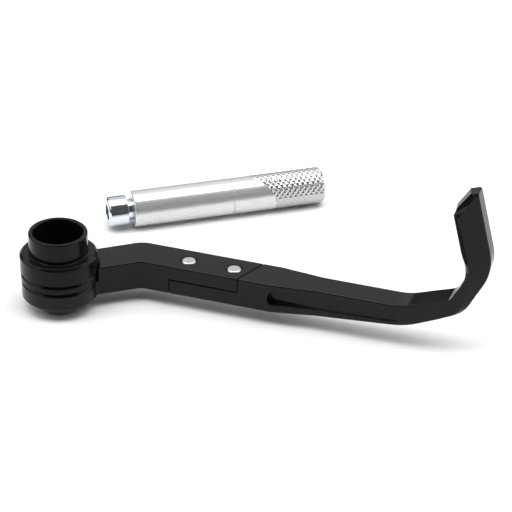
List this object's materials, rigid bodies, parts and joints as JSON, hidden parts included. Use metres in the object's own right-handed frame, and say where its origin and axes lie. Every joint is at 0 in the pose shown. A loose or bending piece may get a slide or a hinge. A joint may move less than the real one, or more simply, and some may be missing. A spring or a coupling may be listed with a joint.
{
  "type": "brake lever guard",
  "caption": "Black bar-end guard for a motorbike's brake lever: cranked arm with a flanged bar-end sleeve, a hooked blade, and a silver expanding anchor drawn out beside it.",
  "frame": {"origin": "on the handlebar's axis, at the outer face of the bracket's eye, in the mouth of the bolt head's pocket", "axes": "+Z along the handlebar's axis towards the rider's hand, +X along the bow's arm towards its hook"},
  "size_m": [0.1749, 0.1286, 0.0675],
  "materials": {
    "bracket_black": "black satin anodising on machined aluminium",
    "bow_black": "black fine-blasted anodising",
    "ring_black": "black anodising on turned aluminium",
    "pin_steel": "bright ground steel",
    "sleeve_silver": "satin turned aluminium",
    "wedge_silver": "diamond-knurled aluminium",
    "bolt_zinc": "bluish zinc plating"
  },
  "bodies": {
    "root": {"guard_bracket": "bracket_black", "guard_bow": "bow_black", "lap_pins": "pin_steel", "bar_end_sleeve": "ring_black", "spacer_ring": "ring_black", "expander_bolt": "bolt_zinc", "expander_sleeve": "sleeve_silver", "expander_wedge": "wedge_silver"}
  },
  "joints": []
}
